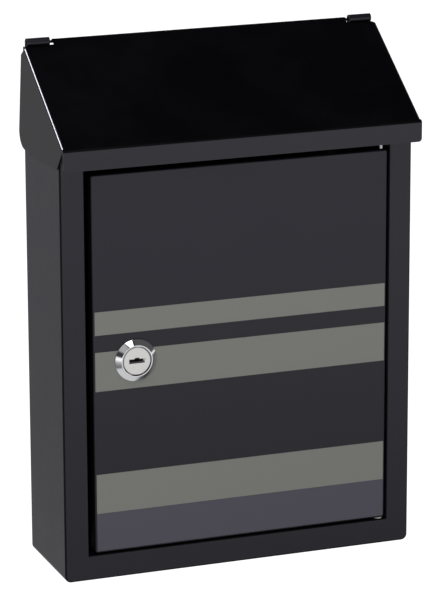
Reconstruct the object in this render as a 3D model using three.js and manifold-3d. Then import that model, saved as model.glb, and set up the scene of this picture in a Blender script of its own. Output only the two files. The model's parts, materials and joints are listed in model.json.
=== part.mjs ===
// Wall mounted mailbox: folded sheet steel, a locked front door and a sloping lid over the mail mouth.
// Millimetres, +Z up, +X to the right as seen from the front, and the wall is the plane y = 0.
// Heights are measured from the underside of the floor. The whole box is lowered at the end, so that
// the origin is on the back panel's rear face, at the centre of its four screw holes.

import * as THREE from 'three';
import { mergeVertices } from 'three/addons/utils/BufferGeometryUtils.js';
import Module from 'manifold-3d';

const wasm = await Module();
wasm.setup();

// ---------------------------------------------------------------- driving dimensions

// Sheet metal
const sheet = 1; // steel thickness
const outerBend = 1.5; // outside radius of a folded edge
const weldGap = 0.3; // between two sheets that are spot-welded together
const slideGap = 0.6; // between the lid and what it closes over

// Casing
const bodyWidth = 260;
const bodyDepth = 77;
const floorCornerRadius = 4.5; // outside radius between the floor and a side
const leftStile = 17.7;
const rightStile = 17;
const sillHeight = 18.3;
const returnDepth = 9; // folded edge behind a stile or the sill
const returnBend = 1; // outside radius of that fold

// Door
const doorHeight = 272;
const doorRecess = 0.5; // door face behind the stile faces
const doorDepth = 9;
const doorBend = 1.5; // outside radius of its folded edges
const doorCornerRadius = 2.1; // seen from the front
const doorSillGap = 1;
const doorHingeGap = 1; // on the right, at the pivots
const doorLatchGap = 4.8; // on the left, at the lock

// Front rail, across the top of the door opening
const railGap = 4.2; // above the door
const railHeight = 9;
const railSetback = 0.3; // rail face behind the stile faces
const railFlange = 14;

// Lid
const roofAngle = 33.8; // below the horizontal, in degrees
const lipProud = 14; // lip face in front of the stile faces
const lipDrop = 6.7; // lip's lower edge above the door's top edge
const lipHeight = 14.2; // from that edge to where roof and lip would meet
const lipCornerRadius = 2.5; // seen from the front
const lipBend = 2.2; // outside radius between roof and lip
const cheekBend = 2.2; // outside radius between roof and cheeks
const cheekFlare = 3; // degrees that a cheek leans outwards
const cheekCornerRadius = 13; // lower rear corner
const cheekChamferDepth = 6.5; // upper rear corner, along the wall's normal
const cheekChamferDrop = 9.5; // and down the rear edge
const cheekSlit = 0.5; // between cheek and lip, at the top
const cheekSlitSpread = 0.7; // what the slit widens by at the bottom
const cheekWallGap = 1.2; // between a cheek's rear edge and the wall

// Lid hinge: an ear of the back panel curled round a tongue of the lid
const earInnerRadius = 1.9;
const earWrap = 240; // degrees from the back panel, over the top
const earWidth = 16.6;
const tongueWidth = 3;
const tongueEndGap = 0.4; // what the tongue's free end stands out of the ear
const rootGap = 2.6; // from the ear's inner end to where the tongue joins the roof
const slotFront = 4.6; // front of the slot before the tongue, from the hinge axis
const neckNotch = 1.5; // depth of the notch behind the tongue's root

// Back panel
const panelFlange = 12;
const screwHoleRadius = 3.5;
const screwSpacingX = 200;
const screwSpacingZ = 240;
const lowerScrewHeight = 60;

// Door pins
const pinRadius = 1.5;
const pinRunningGap = 0.08;
const pinHeadRadius = 2.2;
const pinHeadHeight = 1.2;
const pinInset = 3.8; // axis from the door's right edge
const pinSetback = 3.6; // axis behind the door's face
const pinEngagement = 3; // past the door's folded edge
const washerRadius = 3;
const washerSlack = 0.1; // under and over the washer

// Lock
const lockInset = 31; // axis from the door's left edge
const lockHeight = 138; // axis above the door's bottom edge
const collarRadius = 15.25;
const collarHeight = 3.4;
const collarBevel = 4; // width of the sloped ring
const collarRimWidth = 0.75;
const collarRecess = 0.5; // plug face behind the collar's rim
const barrelRadius = 9.5;
const barrelFlatDepth = 1.5; // what each flat takes off the barrel's radius
const barrelLength = 16; // behind the collar
const barrelHoleGap = 0.2; // round the barrel in the door
const plugHeadHeight = 1.8;
const plugBodyRadius = 6.5;
const plugGap = 0.1; // round the plug
const keywayWidth = 9.4;
const keywayHeight = 2;
const keywayDepth = 13.4;
const nutWall = 2.5; // from the barrel to the nut's flats
const nutHeight = 4;
const lockWasherRim = 3; // width of the washer's ring
const lockWasherHeight = 0.8;
const stackGap = 0.1; // between parts that are clamped together

// Wafers
const waferCount = 5;
const waferThickness = 0.7;
const waferPitch = 2;
const firstWafer = 3.6; // first wafer's face behind the plug's face
const waferHeight = 5.8;
const waferWindowWidth = 7.6;
const waferWindowHeight = 2.4;
const waferGap = 0.1;
const waferGrooveDepth = 1.1; // in the bore, where the wafers spring out

// Cam
const camThickness = 2;
const camCatch = 7.2; // how far the cam's tip reaches behind the stile's edge
const camHubInset = 1.5; // cam hub's edge inside the barrel's
const camTipWidth = 11;
const camCrankStart = 13; // from the axis
const camCrankEnd = 20;
const camBend = 2.6; // outside radius
const camArmGap = 0.8; // behind the folded edges of the door and the stile
const squareSize = 7; // plug's tail
const squareGap = 0.15;
const stopThickness = 1;
const stopInset = 0.5; // stop washer's edge inside the barrel's
const stopLugWall = 1.8; // thickness of the barrel's stop lug
const stopLugAngle = 86;
const stopTravel = 90; // key turn, in degrees
const stopSlack = 1.5; // degrees on each side of the lug
const screwHeadRadius = 3.9;
const screwHeadHeight = 2.4;
const screwShankRadius = 1.9;
const screwLength = 5.5;
const screwHoleGap = 0.1;
const camWasherRadius = 4.8;
const camWasherHeight = 0.8;

// Decor films, heights above the door's bottom edge
const filmThickness = 0.12;
const adhesive = 0.03;
const filmEdgeGap = 0.15; // between two films that meet
const baseBandTop = 29;
const lowerStripeTop = 57.6;
const middleStripeBottom = 117.9;
const middleStripeTop = 146;
const upperStripeBottom = 158.2;
const upperStripeTop = 174.9;

// ---------------------------------------------------------------- worked out from them

const rad = THREE.MathUtils.degToRad;
const far = 1000; // longer than anything here
const over = 1; // how far a cutter runs past what it cuts

const halfWidth = bodyWidth / 2;
const frontY = -bodyDepth;
const openingLeft = -halfWidth + leftStile;
const openingRight = halfWidth - rightStile;

const doorLeft = openingLeft + doorLatchGap;
const doorRight = openingRight - doorHingeGap;
const doorBottom = sillHeight + doorSillGap;
const doorTop = doorBottom + doorHeight;
const doorFace = frontY + doorRecess;
const doorRear = doorFace + doorDepth;

const railBottom = doorTop + railGap;
const railTop = railBottom + railHeight;
const railFace = frontY + railSetback;

const earOuterRadius = earInnerRadius + sheet;
const hingeY = -earOuterRadius;
const sinRoof = Math.sin(rad(roofAngle));
const cosRoof = Math.cos(rad(roofAngle));
const tanRoof = sinRoof / cosRoof;
const lipFace = frontY - lipProud;
const lipMiddle = lipFace + sheet / 2;
const lipBottom = doorTop + lipDrop;
const foldZ = lipBottom + lipHeight;
const hingeHeight = foldZ + (hingeY - lipMiddle) * tanRoof;
const lidHalfWidth = halfWidth + slideGap + sheet;

const panelHalfWidth = halfWidth - sheet - weldGap;
const earOuterEnd = panelHalfWidth;
const earInnerEnd = earOuterEnd - earWidth;
const upperScrewHeight = lowerScrewHeight + screwSpacingZ;
const datumHeight = (lowerScrewHeight + upperScrewHeight) / 2;

const pinX = doorRight - pinInset;
const pinY = doorFace + pinSetback;
const lockX = doorLeft + lockInset;
const lockZ = doorBottom + lockHeight;
const camLength = lockInset + doorLatchGap + camCatch; // axis to tip
const stopRadius = barrelRadius - stopInset;
const stopLugRadius = barrelRadius - stopLugWall;
const camHubRadius = barrelRadius - camHubInset;

// ---------------------------------------------------------------- solids

// A closed mesh as a manifold solid, with its shared corners merged.
function solid(geometry) {
  const bare = geometry.clone();
  bare.deleteAttribute('normal');
  bare.deleteAttribute('uv');
  const merged = mergeVertices(bare, 1e-4);
  const corners = merged.index.array;
  const triangles = [];
  for (let i = 0; i < corners.length; i += 3) {
    const [a, b, c] = [corners[i], corners[i + 1], corners[i + 2]];
    if (a !== b && b !== c && c !== a) triangles.push(a, b, c);
  }
  const vertProperties = new Float32Array(merged.attributes.position.array);
  const triVerts = new Uint32Array(triangles);
  return new wasm.Manifold(new wasm.Mesh({ numProp: 3, vertProperties, triVerts }));
}

// A manifold solid as a geometry with flat faces.
function geometryOf(shape) {
  const mesh = shape.getMesh();
  const geometry = new THREE.BufferGeometry();
  const positions = new Float32Array((mesh.vertProperties.length / mesh.numProp) * 3);
  for (let v = 0; v < positions.length / 3; v += 1) {
    for (let k = 0; k < 3; k += 1) positions[v * 3 + k] = mesh.vertProperties[v * mesh.numProp + k];
  }
  geometry.setAttribute('position', new THREE.BufferAttribute(positions, 3));
  geometry.setIndex(new THREE.BufferAttribute(new Uint32Array(mesh.triVerts), 1));
  return geometry;
}

function union(...shapes) {
  return shapes.reduce((sum, shape) => sum.add(shape));
}

function cut(shape, ...cutters) {
  return cutters.reduce((rest, cutter) => rest.subtract(cutter), shape);
}

function box(x0, x1, y0, y1, z0, z1) {
  const geometry = new THREE.BoxGeometry(x1 - x0, y1 - y0, z1 - z0);
  geometry.translate((x0 + x1) / 2, (y0 + y1) / 2, (z0 + z1) / 2);
  return solid(geometry);
}

function cylinder(radius, start, end, segments) {
  const geometry = new THREE.CylinderGeometry(radius, radius, end - start, segments);
  geometry.translate(0, (start + end) / 2, 0);
  return geometry;
}

// A cylinder along Y, or along Z, between two positions on its axis.
function cylinderY(radius, y0, y1, x = 0, z = 0, segments = 48) {
  return solid(cylinder(radius, y0, y1, segments).translate(x, 0, z));
}

function cylinderZ(radius, z0, z1, x = 0, y = 0, segments = 32) {
  return solid(cylinder(radius, z0, z1, segments).rotateX(Math.PI / 2).translate(x, y, 0));
}

// Moves a geometry from its own axes to three given ones, at a given origin.
function place(geometry, u, v, w, origin) {
  const matrix = new THREE.Matrix4().makeBasis(u, v, w).setPosition(origin);
  return geometry.applyMatrix4(matrix);
}

const axisX = new THREE.Vector3(1, 0, 0);
const axisY = new THREE.Vector3(0, 1, 0);
const axisZ = new THREE.Vector3(0, 0, 1);

function extruded(outline, depth) {
  return new THREE.ExtrudeGeometry(outline, { depth, bevelEnabled: false, curveSegments: 10 });
}

// An outline in (y, z), carried along X.
function prismX(outline, x0, x1) {
  return solid(place(extruded(outline, x1 - x0), axisY, axisZ, axisX, new THREE.Vector3(x0, 0, 0)));
}

// An outline in (x, z), seen from the front, carried along Y.
function prismY(outline, y0, y1) {
  const forward = axisY.clone().negate();
  return solid(place(extruded(outline, y1 - y0), axisX, axisZ, forward, new THREE.Vector3(0, y1, 0)));
}

// An outline in (x, y), carried along Z.
function prismZ(outline, z0, z1) {
  return solid(place(extruded(outline, z1 - z0), axisX, axisY, axisZ, new THREE.Vector3(0, 0, z0)));
}

// A turned part about Y. The profile lists (radius, y) from its front to its back, on the axis at both ends.
function turned(profile, segments = 64) {
  const points = profile.map(([r, y]) => new THREE.Vector2(r, y));
  return solid(new THREE.LatheGeometry(points, segments));
}

function polygon(points) {
  return new THREE.Shape(points.map(([u, v]) => new THREE.Vector2(u, v)));
}

// A rectangle with its two lower corners rounded, and its upper two as well when asked.
function roundedRectangle(x0, x1, z0, z1, radius, upperRadius = 0) {
  const shape = new THREE.Shape();
  shape.moveTo(x0 + radius, z0);
  shape.lineTo(x1 - radius, z0);
  shape.absarc(x1 - radius, z0 + radius, radius, -Math.PI / 2, 0, false);
  shape.lineTo(x1, z1 - upperRadius);
  if (upperRadius > 0) {
    shape.absarc(x1 - upperRadius, z1 - upperRadius, upperRadius, 0, Math.PI / 2, false);
    shape.absarc(x0 + upperRadius, z1 - upperRadius, upperRadius, Math.PI / 2, Math.PI, false);
  } else {
    shape.lineTo(x0, z1);
  }
  shape.lineTo(x0, z0 + radius);
  shape.absarc(x0 + radius, z0 + radius, radius, Math.PI, 1.5 * Math.PI, false);
  return shape;
}

// A block with a rounded front edge all round: the outside, or the inside, of a folded tray.
function trayBlank(outline, front, rear, edgeRadius) {
  const geometry = new THREE.ExtrudeGeometry(outline, {
    depth: rear - front - edgeRadius + over,
    bevelThickness: edgeRadius,
    bevelSize: edgeRadius,
    bevelOffset: -edgeRadius,
    bevelSegments: 4,
    curveSegments: 8,
  });
  const forward = axisY.clone().negate();
  const origin = new THREE.Vector3(0, rear + over, 0);
  const blank = solid(place(geometry, axisX, axisZ, forward, origin));
  return cut(blank, box(-far, far, rear, far, -far, far));
}

// The outline of a sheet of even thickness along a bent centre line, its bends as arcs.
function sheetOutline(corners, thickness, outsideRadius, steps = 5) {
  const points = corners.map(([u, v]) => new THREE.Vector2(u, v));
  const radius = outsideRadius - thickness / 2;
  const left = [];
  const right = [];
  const mark = (point, normal) => {
    left.push(point.clone().addScaledVector(normal, thickness / 2));
    right.push(point.clone().addScaledVector(normal, -thickness / 2));
  };
  const normalOf = (d) => new THREE.Vector2(-d.y, d.x);
  for (let i = 0; i < points.length; i += 1) {
    const before = i > 0 ? points[i].clone().sub(points[i - 1]).normalize() : null;
    const after = i < points.length - 1 ? points[i + 1].clone().sub(points[i]).normalize() : null;
    if (!before || !after) {
      mark(points[i], normalOf(before || after));
      continue;
    }
    const turn = Math.atan2(before.cross(after), before.dot(after));
    const tangent = radius * Math.tan(Math.abs(turn) / 2);
    const start = points[i].clone().addScaledVector(before, -tangent);
    const side = Math.sign(turn);
    const centre = start.clone().addScaledVector(normalOf(before), side * radius);
    for (let step = 0; step <= steps; step += 1) {
      const normal = normalOf(before).rotateAround(new THREE.Vector2(), (turn * step) / steps);
      mark(centre.clone().addScaledVector(normal, -side * radius), normal);
    }
  }
  return new THREE.Shape([...left, ...right.reverse()]);
}

// A part of a disc between two angles, in degrees, counted from +X towards +Z, carried along Y.
function sector(inner, outer, from, to, y0, y1) {
  const shape = new THREE.Shape();
  shape.absarc(0, 0, outer, rad(from), rad(to), false);
  if (inner > 0) shape.absarc(0, 0, inner, rad(to), rad(from), true);
  else shape.lineTo(0, 0);
  return prismY(shape, y0, y1);
}

// ---------------------------------------------------------------- materials

function finish(color, roughness, metalness) {
  return () => new THREE.MeshStandardMaterial({ color, roughness, metalness });
}

const blackPowderCoat = finish(0x35333a, 0.5, 0.1);
const glossBlackCoat = finish(0x0c0c10, 0.25, 0.1);
const chrome = finish(0xd8d9db, 0.12, 1);
const satinNickel = finish(0xb9b9b8, 0.4, 1);
const zincPlate = finish(0xa9abaf, 0.45, 1);
const brass = finish(0xb08d4a, 0.35, 1);
const nylon = finish(0xe4e2da, 0.6, 0);
const greyGreenFilm = finish(0x71746c, 0.45, 0);
const violetGreyFilm = finish(0x4a4852, 0.45, 0);

const mailbox = new THREE.Group();
const lidGroup = new THREE.Group();
const doorGroup = new THREE.Group();
const lockGroup = new THREE.Group();
mailbox.add(lidGroup, doorGroup);
doorGroup.add(lockGroup);
mailbox.position.z = -datumHeight;
lockGroup.position.set(lockX, doorFace, lockZ);

function add(parent, name, shape, material) {
  const mesh = new THREE.Mesh(geometryOf(shape), material());
  mesh.name = name;
  parent.add(mesh);
}

// ---------------------------------------------------------------- casing

// The space below a plane that lies a given distance under the roof sheet, level near the hinge.
function underRoof(clearance, hingeClearance) {
  const drop = (sheet / 2 + clearance) / cosRoof;
  const atWall = hingeHeight - hingeY * tanRoof - drop;
  const levelZ = hingeHeight - hingeClearance;
  const kneeY = (levelZ - atWall) / tanRoof;
  const slopeEnd = [-far, atWall - far * tanRoof];
  const profile = polygon([[-far, -2 * far], [far, -2 * far], [far, levelZ], [kneeY, levelZ], slopeEnd]);
  return prismX(profile, -far, far);
}

// A cutter that rounds the front edge of a fold, seen along the edge as (across, y).
function edgeRounding(edge, awayFromSheet, front, radius) {
  const inward = -awayFromSheet;
  const shape = new THREE.Shape();
  shape.moveTo(edge - inward * over, front - over);
  shape.lineTo(edge + inward * radius, front - over);
  shape.lineTo(edge + inward * radius, front);
  const steps = 6;
  for (let i = 1; i <= steps; i += 1) {
    const angle = (Math.PI / 2) * (i / steps);
    const across = edge + inward * (radius - radius * Math.sin(angle));
    shape.lineTo(across, front + radius - radius * Math.cos(angle));
  }
  shape.lineTo(edge - inward * over, front + radius);
  return shape;
}

function makeCasing() {
  const insideWidth = halfWidth - sheet;
  const outside = roundedRectangle(-halfWidth, halfWidth, 0, far, floorCornerRadius);
  const inside = roundedRectangle(-insideWidth, insideWidth, sheet, far + sheet, floorCornerRadius - sheet);
  const shell = cut(
    trayBlank(outside, frontY, 0, outerBend),
    trayBlank(inside, frontY + sheet, over, outerBend - sheet),
    box(openingLeft, openingRight, frontY - over, frontY + sheet + over, sillHeight, far),
  );
  const returnRear = frontY + returnDepth;
  const framed = union(
    shell,
    box(openingLeft - sheet, openingLeft, frontY, returnRear, sillHeight - sheet, far),
    box(openingRight, openingRight + sheet, frontY, returnRear, sillHeight - sheet, far),
    box(openingLeft - sheet, openingRight + sheet, frontY, returnRear, sillHeight - sheet, sillHeight),
  );
  const sillRounding = prismX(sillEdgeRounding(), openingLeft, openingRight);
  const rounded = cut(
    framed,
    prismZ(edgeRounding(openingLeft, 1, frontY, returnBend), sillHeight, far),
    prismZ(edgeRounding(openingRight, -1, frontY, returnBend), sillHeight, far),
    sillRounding,
    cylinderZ(pinRadius + pinRunningGap, sillHeight - sheet - over, sillHeight + over, pinX, pinY),
  );
  return rounded.intersect(underRoof(slideGap, earOuterRadius + weldGap));
}

// The same cutter for the sill, as (y, z): its distance across is measured up z, so the axes are swapped.
function sillEdgeRounding() {
  const across = edgeRounding(sillHeight, 1, frontY, returnBend).getPoints();
  return new THREE.Shape(across.map((p) => new THREE.Vector2(p.y, p.x)));
}

// ---------------------------------------------------------------- back panel

function makeBackPanel() {
  const middleY = -sheet / 2;
  const edge = panelHalfWidth - sheet / 2;
  const bottom = sheet + weldGap;
  const earBase = hingeHeight - earOuterRadius - weldGap;
  const flangeTop = earBase - panelFlange;
  const plan = sheetOutline(
    [[-edge, -panelFlange], [-edge, middleY], [edge, middleY], [edge, -panelFlange]],
    sheet,
    outerBend,
  );
  const clearOfFloorBend = panelHalfWidth - floorCornerRadius;
  const flangeMiddle = bottom + sheet / 2;
  const footLine = [[-panelFlange, flangeMiddle], [middleY, flangeMiddle], [middleY, far]];
  const foot = sheetOutline(footLine, sheet, outerBend);
  const floorFlange = prismX(foot, -clearOfFloorBend, clearOfFloorBend)
    .intersect(box(-far, far, -far, far, 0, bottom + floorCornerRadius + over));
  const upright = prismZ(plan, bottom + floorCornerRadius, flangeTop);
  const top = box(-panelHalfWidth, panelHalfWidth, -sheet, 0, flangeTop - over, earBase);
  const ears = [-1, 1].map((side) => makeEar(side, earBase));
  const holes = [];
  for (const x of [-screwSpacingX / 2, screwSpacingX / 2]) {
    for (const z of [lowerScrewHeight, upperScrewHeight]) {
      holes.push(cylinderY(screwHoleRadius, -sheet - over, over, x, z, 32));
    }
  }
  return cut(union(floorFlange, upright, top, ...ears), ...holes);
}

// One ear: it rises from the panel and curls forwards over the hinge axis.
function makeEar(side, base) {
  const inner = side * earInnerEnd;
  const outer = side * earOuterEnd;
  const [x0, x1] = [Math.min(inner, outer), Math.max(inner, outer)];
  const curl = new THREE.Shape();
  curl.absarc(hingeY, hingeHeight, earOuterRadius, 0, rad(earWrap), false);
  curl.absarc(hingeY, hingeHeight, earInnerRadius, rad(earWrap), 0, true);
  const ring = new THREE.Shape(curl.getPoints(14));
  return union(prismX(ring, x0, x1), box(x0, x1, -sheet, 0, base - over, hingeHeight));
}

// ---------------------------------------------------------------- front rail

function makeFrontRail() {
  const left = openingLeft + weldGap;
  const right = openingRight - weldGap;
  const middleY = railFace + sheet / 2;
  const low = railBottom + sheet / 2;
  const high = railTop - sheet / 2;
  const rear = railFace + railFlange;
  const line = [[rear, low], [middleY, low], [middleY, high], [rear, high]];
  const channel = sheetOutline(line, sheet, outerBend);
  const middleZ = (railBottom + railTop) / 2;
  const pinHole = cylinderZ(pinRadius + pinRunningGap, railBottom - over, middleZ, pinX, pinY);
  const driverHole = cylinderZ(pinHeadRadius + stackGap, middleZ, railTop + over, pinX, pinY);
  return cut(prismX(channel, left, right), pinHole, driverHole);
}

// ---------------------------------------------------------------- lid

// Slope axes at the hinge: across the box, out of the roof, and down the slope to the front.
const outOfRoof = new THREE.Vector3(0, -sinRoof, cosRoof);
const downSlope = new THREE.Vector3(0, -cosRoof, -sinRoof);
const hingePoint = new THREE.Vector3(0, hingeY, hingeHeight);

function alongSlope(outline, s0, s1) {
  const origin = hingePoint.clone().addScaledVector(downSlope, s0);
  return solid(place(extruded(outline, s1 - s0), axisX, outOfRoof, downSlope, origin));
}

function makeLid() {
  const rearEnd = -tongueWidth / 2;
  const foldS = (hingeY - lipMiddle) / cosRoof; // from the hinge to where roof and lip would meet
  const foldTurn = rad(90 - roofAngle);
  const foldTangent = (lipBend - sheet / 2) * Math.tan(foldTurn / 2);
  const roofEnd = foldS - foldTangent;

  const halfSpan = lidHalfWidth - sheet / 2;
  const reach = hingeHeight - lipBottom + lipProud;
  const spread = reach * Math.sin(rad(cheekFlare));
  const drop = reach * Math.cos(rad(cheekFlare));
  const cheekEnd = halfSpan + spread;
  const section = sheetOutline(
    [[-cheekEnd, -drop], [-halfSpan, 0], [halfSpan, 0], [cheekEnd, -drop]],
    sheet,
    cheekBend,
  );
  const hood = alongSlope(section, rearEnd, roofEnd);

  const slitTop = lipFace + sheet + cheekSlit;
  const slitBottom = slitTop + cheekSlitSpread;
  const r = cheekCornerRadius;
  const side = new THREE.Shape();
  side.moveTo(slitBottom, lipBottom);
  side.lineTo(-cheekWallGap - r, lipBottom);
  side.absarc(-cheekWallGap - r, lipBottom + r, r, -Math.PI / 2, 0, false);
  side.lineTo(-cheekWallGap, hingeHeight + far);
  side.lineTo(-far, hingeHeight + far);
  side.lineTo(-far, foldZ - lipBend / 2);
  side.lineTo(slitTop, foldZ - lipBend / 2);
  const trimmedHood = hood.intersect(prismX(side, -far, far));

  const overlap = 3 * sheet;
  const startY = hingeY - (roofEnd - overlap) * cosRoof;
  const startZ = hingeHeight - (roofEnd - overlap) * sinRoof;
  const fold = [[startY, startZ], [lipMiddle, foldZ], [lipMiddle, lipBottom]];
  const frontProfile = sheetOutline(fold, sheet, lipBend, 7);
  const sharpFront = prismX(frontProfile, -lidHalfWidth, lidHalfWidth);
  const lipPlan = roundedRectangle(-lidHalfWidth, lidHalfWidth, lipBottom, far, lipCornerRadius);
  const front = cut(sharpFront, roofCornerStrips(roofEnd - overlap)).intersect(prismY(lipPlan, -far, far));

  const notches = [-1, 1].flatMap((sideSign) => notchCutters(sideSign));
  return cut(union(trimmedHood, front), ...notches, ...rearChamfers());
}

// What is cut off the upper rear corners, where the ears' outer ends stand beside the cheeks.
function rearChamfers() {
  const rearY = -cheekWallGap;
  const chamferFront = rearY - cheekChamferDepth;
  const top = hingeHeight + sheet;
  const corner = polygon([
    [rearY + over, top - cheekChamferDrop],
    [rearY, top - cheekChamferDrop],
    [chamferFront, top - cheekChamferDepth * tanRoof],
    [chamferFront, top + over],
    [rearY + over, top + over],
  ]);
  const inner = earOuterEnd + tongueEndGap;
  return [prismX(corner, inner, far), prismX(corner, -far, -inner)];
}

// What the fold between roof and cheek leaves off the lip's flat blank, where the two overlap.
function roofCornerStrips(start) {
  const strips = [-1, 1].map((sideSign) => {
    const edge = sideSign * lidHalfWidth;
    const inner = sideSign * (lidHalfWidth - cheekBend);
    const [x0, x1] = [Math.min(edge + sideSign, inner), Math.max(edge + sideSign, inner)];
    const block = polygon([[x0, -far / 10], [x1, -far / 10], [x1, far / 10], [x0, far / 10]]);
    const round = new THREE.Shape();
    round.absarc(inner, sheet / 2 - cheekBend, cheekBend, 0, 2 * Math.PI, false);
    const length = 2 * sheet;
    const [s0, s1] = [start - over, start + length];
    return cut(alongSlope(block, s0, s1), alongSlope(round, s0, s1));
  });
  return union(...strips);
}

// Round each ear: a slot in front of the tongue, and a notch in the rear edge at the tongue's root.
function notchCutters(sideSign) {
  const outer = earOuterEnd + tongueEndGap + over;
  const root = earInnerEnd - rootGap;
  const [x0, x1] = [Math.min(sideSign * outer, sideSign * root), Math.max(sideSign * outer, sideSign * root)];
  const block = polygon([[x0, -over], [x1, -over], [x1, over], [x0, over]]);
  const slot = alongSlope(block, tongueWidth / 2, slotFront);

  const rear = -tongueWidth / 2;
  const middle = sideSign * (earInnerEnd - rootGap / 2);
  const half = rootGap / 2 + over * (rootGap / 2 / neckNotch);
  const notchOutline = polygon([
    [middle - half, rear - over],
    [middle + half, rear - over],
    [middle, rear + neckNotch],
  ]);
  const base = hingePoint.clone().addScaledVector(outOfRoof, over);
  const intoRoof = outOfRoof.clone().negate();
  const notch = solid(place(extruded(notchOutline, 2 * over), axisX, downSlope, intoRoof, base));
  return [slot, notch];
}

// ---------------------------------------------------------------- door and its pins

function barrelSection(gap) {
  const flat = barrelRadius - barrelFlatDepth + gap;
  const round = cylinderY(barrelRadius + gap, -far, far);
  return round.intersect(box(-far, far, -far, far, -flat, flat));
}

function makeDoor() {
  const r = doorCornerRadius;
  const outside = roundedRectangle(doorLeft, doorRight, doorBottom, doorTop, r, r);
  const inside = roundedRectangle(
    doorLeft + sheet,
    doorRight - sheet,
    doorBottom + sheet,
    doorTop - sheet,
    r - sheet,
    r - sheet,
  );
  const tray = cut(
    trayBlank(outside, doorFace, doorRear, doorBend),
    trayBlank(inside, doorFace + sheet, doorRear + over, doorBend - sheet),
  );
  const barrelHole = barrelSection(barrelHoleGap)
    .intersect(box(-far, far, -over, sheet + over, -far, far))
    .translate([lockX, doorFace, lockZ]);
  const pinHoleRadius = pinRadius + pinRunningGap;
  return cut(
    tray,
    barrelHole,
    cylinderZ(pinHoleRadius, doorBottom - over, doorBottom + sheet + over, pinX, pinY),
    cylinderZ(pinHoleRadius, doorTop - sheet - over, doorTop + over, pinX, pinY),
  );
}

// A headed pin: head outside the frame's folded edge, shank running into the door's.
function makePin(headStart, headEnd, tip) {
  const upwards = (radius, a, b) => cylinderZ(radius, Math.min(a, b), Math.max(a, b), pinX, pinY);
  return union(upwards(pinHeadRadius, headStart, headEnd), upwards(pinRadius, headStart, tip));
}

function makeDoorWasher() {
  const low = sillHeight + washerSlack;
  const high = doorBottom - washerSlack;
  const bore = cylinderZ(pinRadius + pinRunningGap, low - over, high + over, pinX, pinY);
  return cut(cylinderZ(washerRadius, low, high, pinX, pinY), bore);
}

// ---------------------------------------------------------------- decor films

function makeFilm(bottom, top) {
  const rear = doorFace - adhesive;
  const strip = box(
    doorLeft + doorBend,
    doorRight - doorBend,
    rear - filmThickness,
    rear,
    doorBottom + bottom,
    doorBottom + top,
  );
  const lockHole = barrelSection(barrelHoleGap).translate([lockX, 0, lockZ]);
  return cut(strip, lockHole);
}

// ---------------------------------------------------------------- lock, about its own axis
// y is counted from the door's face, positive into the box.

const collarBase = -adhesive - filmThickness - stackGap;
const collarFront = collarBase - collarHeight;
const rimRadius = collarRadius - collarBevel;
const faceRadius = rimRadius - collarRimWidth;
const barrelEnd = collarBase + barrelLength;
const plugFace = collarFront + collarRecess;
const plugHeadRear = plugFace + plugHeadHeight;
const squareStart = barrelEnd + stackGap;

const stopStart = barrelEnd + stackGap;
const stopEnd = stopStart + stopThickness;
const camStart = stopEnd + stackGap;
const camEnd = camStart + camThickness;
const squareEnd = camEnd - stackGap;
const armStart = Math.max(doorDepth, returnDepth - doorRecess) + camArmGap;
const armEnd = armStart + camThickness;
const camWasherStart = camEnd + stackGap;
const camWasherEnd = camWasherStart + camWasherHeight;
const screwHeadStart = camWasherEnd + stackGap;

const lugMiddle = 90; // the barrel's stop lug points up
const waferSlotWidth = waferThickness + 2 * waferGap;

function waferStart(index) {
  return plugFace + firstWafer + index * waferPitch;
}

function makeLockHousing() {
  const collar = turned([
    [0, collarFront + over],
    [rimRadius - collarRimWidth, collarFront + over],
    [rimRadius - collarRimWidth, collarFront + collarRimWidth / 4],
    [rimRadius - collarRimWidth * 0.75, collarFront],
    [rimRadius, collarFront],
    [rimRadius + collarRimWidth / 3, collarFront + collarRimWidth / 6],
    [collarRadius - collarRimWidth / 3, collarBase - collarRimWidth],
    [collarRadius, collarBase - collarRimWidth * 0.6],
    [collarRadius, collarBase],
    [0, collarBase],
  ], 96);
  const barrel = barrelSection(0).intersect(box(-far, far, collarBase - over, barrelEnd, -far, far));
  const lug = sector(
    stopLugRadius,
    barrelRadius,
    lugMiddle - stopLugAngle / 2,
    lugMiddle + stopLugAngle / 2,
    barrelEnd - over,
    stopEnd,
  ).intersect(barrelSection(0));
  const headBore = cylinderY(faceRadius + plugGap, collarFront - over, plugHeadRear + plugGap, 0, 0, 96);
  const bodyBore = cylinderY(plugBodyRadius + plugGap, collarFront - over, barrelEnd + over, 0, 0, 64);
  const grooveReach = plugBodyRadius + waferGrooveDepth;
  const grooveHeight = waferHeight / 2 + waferGap;
  const grooves = box(
    -grooveReach,
    grooveReach,
    waferStart(0) - waferGap,
    barrelEnd + over,
    -grooveHeight,
    grooveHeight,
  );
  return cut(union(collar, barrel, lug), headBore, bodyBore, grooves);
}

function makeLockPlug() {
  const edge = 0.4;
  const body = turned([
    [0, plugFace],
    [faceRadius - edge, plugFace],
    [faceRadius, plugFace + edge],
    [faceRadius, plugHeadRear],
    [plugBodyRadius, plugHeadRear],
    [plugBodyRadius, barrelEnd],
    [0, barrelEnd],
  ]);
  const half = squareSize / 2;
  const tail = box(-half, half, barrelEnd - over, squareEnd, -half, half);
  const keyway = box(
    -keywayWidth / 2,
    keywayWidth / 2,
    plugFace - over,
    plugFace + keywayDepth,
    -keywayHeight / 2,
    keywayHeight / 2,
  );
  const screwHole = cylinderY(
    screwShankRadius + screwHoleGap,
    squareEnd + over - screwLength - over,
    squareEnd + over,
    0,
    0,
    24,
  );
  const slots = [];
  const reach = plugBodyRadius + over;
  const slotHeight = waferHeight / 2 + waferGap;
  for (let i = 0; i < waferCount; i += 1) {
    const start = waferStart(i) - waferGap;
    slots.push(box(-reach, reach, start, start + waferSlotWidth, -slotHeight, slotHeight));
  }
  return cut(union(body, tail), keyway, screwHole, ...slots);
}

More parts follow.
